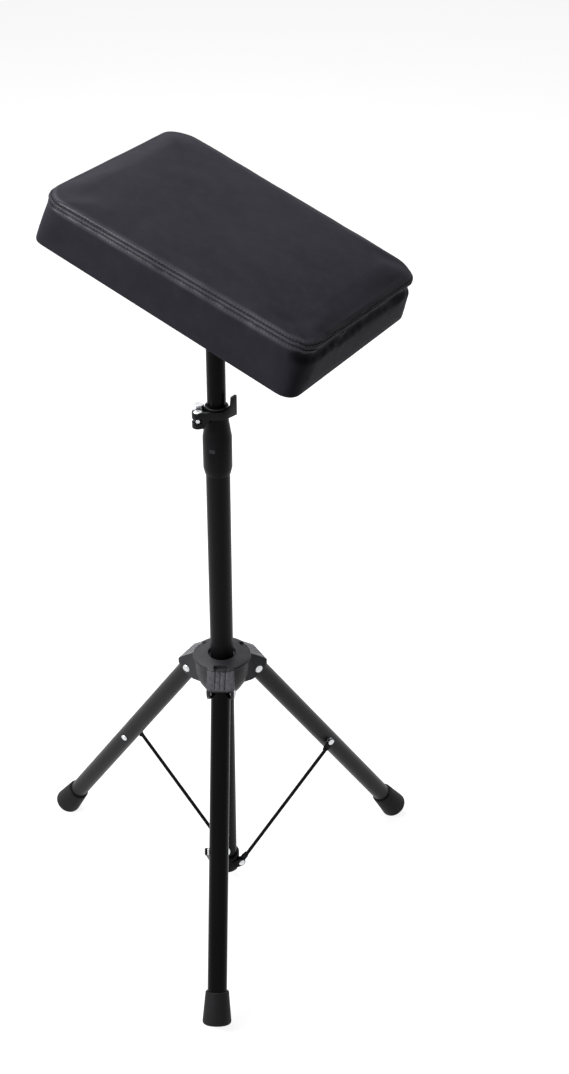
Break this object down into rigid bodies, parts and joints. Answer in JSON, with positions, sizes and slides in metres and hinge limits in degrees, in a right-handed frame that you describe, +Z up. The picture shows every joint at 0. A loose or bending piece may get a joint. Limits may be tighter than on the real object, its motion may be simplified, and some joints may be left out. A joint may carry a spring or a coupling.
{
  "type": "arm rest stand",
  "caption": "Padded arm rest on a height-adjustable mast: tilting, swivelling cushion, lever clamp and a folding braced tripod.",
  "frame": {"origin": "on the floor, under the axis of the mast", "axes": "+Z up along the mast, +X along the cushion towards its lower end, +Y across it towards the tilt knob"},
  "size_m": [0.5003, 0.5251, 1.0491],
  "materials": {
    "black_paint": "satin",
    "black_plastic": "satin",
    "bush_plastic": "matte",
    "hub_plastic": "satin",
    "bracket_paint": "satin",
    "bright_steel": "polished",
    "foot_rubber": "matte",
    "cover_leather": "satin",
    "foam": "matte",
    "plywood": "matte",
    "dust_cloth": "matte"
  },
  "bodies": {
    "column": {"outer_tube": "black_paint", "tube_end_plug": "black_plastic", "lower_bracket": "black_plastic", "bracket_pins": "bright_steel", "clamp_collar": "black_plastic", "ear_cap": "bright_steel", "collar_bush": "bush_plastic", "barrel_pin": "bright_steel", "clamp_bolt": "bright_steel", "clamp_nut": "bright_steel"},
    "slider": {"guide_bush": "bush_plastic"},
    "inner_mast": {"inner_tube": "black_paint", "tilt_head": "bracket_paint", "head_rivet": "bright_steel"},
    "cushion": {"pad_bracket": "bracket_paint", "bracket_screws": "bright_steel", "tilt_bolt": "bright_steel", "tilt_washers": "bright_steel", "pad_board": "plywood", "pad_foam": "foam", "pad_cover": "cover_leather", "dust_cloth": "dust_cloth", "staples": "bright_steel"},
    "tilt_knob_body": {"tilt_knob": "black_plastic", "knob_insert": "bright_steel"},
    "lever": {"clamp_lever": "black_plastic"},
    "hub": {"leg_hub": "hub_plastic", "leg_pins": "bright_steel"},
    "hub_knob_body": {"hub_knob": "black_plastic", "hub_screw": "bright_steel"},
    "front_leg_body": {"front_leg": "black_paint", "front_leg_plug": "black_plastic", "front_foot": "foot_rubber", "front_leg_rivet": "bright_steel"},
    "right_leg_body": {"right_leg": "black_paint", "right_leg_plug": "black_plastic", "right_foot": "foot_rubber", "right_leg_rivet": "bright_steel"},
    "left_leg_body": {"left_leg": "black_paint", "left_leg_plug": "black_plastic", "left_foot": "foot_rubber", "left_leg_rivet": "bright_steel"},
    "front_brace_body": {"front_brace": "black_paint", "front_brace_rivet": "bright_steel"},
    "right_brace_body": {"right_brace": "black_paint", "right_brace_rivet": "bright_steel"},
    "left_brace_body": {"left_brace": "black_paint", "left_brace_rivet": "bright_steel"}
  },
  "joints": [
    {"name": "height_slide", "type": "slide", "parent": "column", "child": "slider", "axis": [0, 0, 1], "range_m": [-0.08, 0.195]},
    {"name": "mast_swivel", "type": "hinge", "parent": "slider", "child": "inner_mast", "pos_m": [0, 0, 0.6], "axis": [0, 0, 1], "continuous": true},
    {"name": "pad_tilt", "type": "hinge", "parent": "inner_mast", "child": "cushion", "pos_m": [0, 0, 0.903], "axis": [0, 1, 0], "range_deg": [-85, 49]},
    {"name": "tilt_knob_turn", "type": "hinge", "parent": "cushion", "child": "tilt_knob_body", "pos_m": [0, 0.03, 0.903], "axis": [0, 1, 0], "continuous": true},
    {"name": "clamp_lever_open", "type": "hinge", "parent": "column", "child": "lever", "pos_m": [-0.01072, -0.02478, 0.754], "axis": [0, 0, -1], "range_deg": [0, 110]},
    {"name": "hub_slide", "type": "slide", "parent": "column", "child": "hub", "axis": [0, 0, 1], "range_m": [0, 0.0896]},
    {"name": "hub_knob_turn", "type": "hinge", "parent": "hub", "child": "hub_knob_body", "pos_m": [-0.02575, 0.04286, 0.35482], "axis": [-0.515, 0.8572, 0], "continuous": true},
    {"name": "front_leg_fold", "type": "hinge", "parent": "hub", "child": "front_leg_body", "pos_m": [0.02369, -0.03943, 0.36382], "axis": [0.8572, 0.515, 0], "range_deg": [0, 34.2]},
    {"name": "right_leg_fold", "type": "hinge", "parent": "hub", "child": "right_leg_body", "pos_m": [0.0223, 0.04023, 0.36382], "axis": [-0.8746, 0.4848, 0], "range_deg": [0, 34.2]},
    {"name": "left_leg_fold", "type": "hinge", "parent": "hub", "child": "left_leg_body", "pos_m": [-0.04599, -0.0008, 0.36382], "axis": [0.0175, -0.9998, 0], "range_deg": [0, 34.2]},
    {"name": "front_brace_fold", "type": "hinge", "parent": "column", "child": "front_brace_body", "pos_m": [-0.00668, -0.02093, 0.032], "axis": [-0.8572, -0.515, 0], "range_deg": [0, 34.2]},
    {"name": "right_brace_fold", "type": "hinge", "parent": "column", "child": "right_brace_body", "pos_m": [0.02146, 0.00468, 0.032], "axis": [0.8746, -0.4848, 0], "range_deg": [0, 34.2]},
    {"name": "left_brace_fold", "type": "hinge", "parent": "column", "child": "left_brace_body", "pos_m": [-0.01479, 0.01624, 0.032], "axis": [-0.0175, 0.9998, 0], "range_deg": [0, 34.2]}
  ],
  "couplings": [
    {"joint": "front_leg_fold", "follows": "hub_slide", "rad_per_m": 6.618},
    {"joint": "right_leg_fold", "follows": "hub_slide", "rad_per_m": 6.618},
    {"joint": "left_leg_fold", "follows": "hub_slide", "rad_per_m": 6.618},
    {"joint": "front_brace_fold", "follows": "hub_slide", "rad_per_m": 6.6175},
    {"joint": "right_brace_fold", "follows": "hub_slide", "rad_per_m": 6.6175},
    {"joint": "left_brace_fold", "follows": "hub_slide", "rad_per_m": 6.6175}
  ]
}
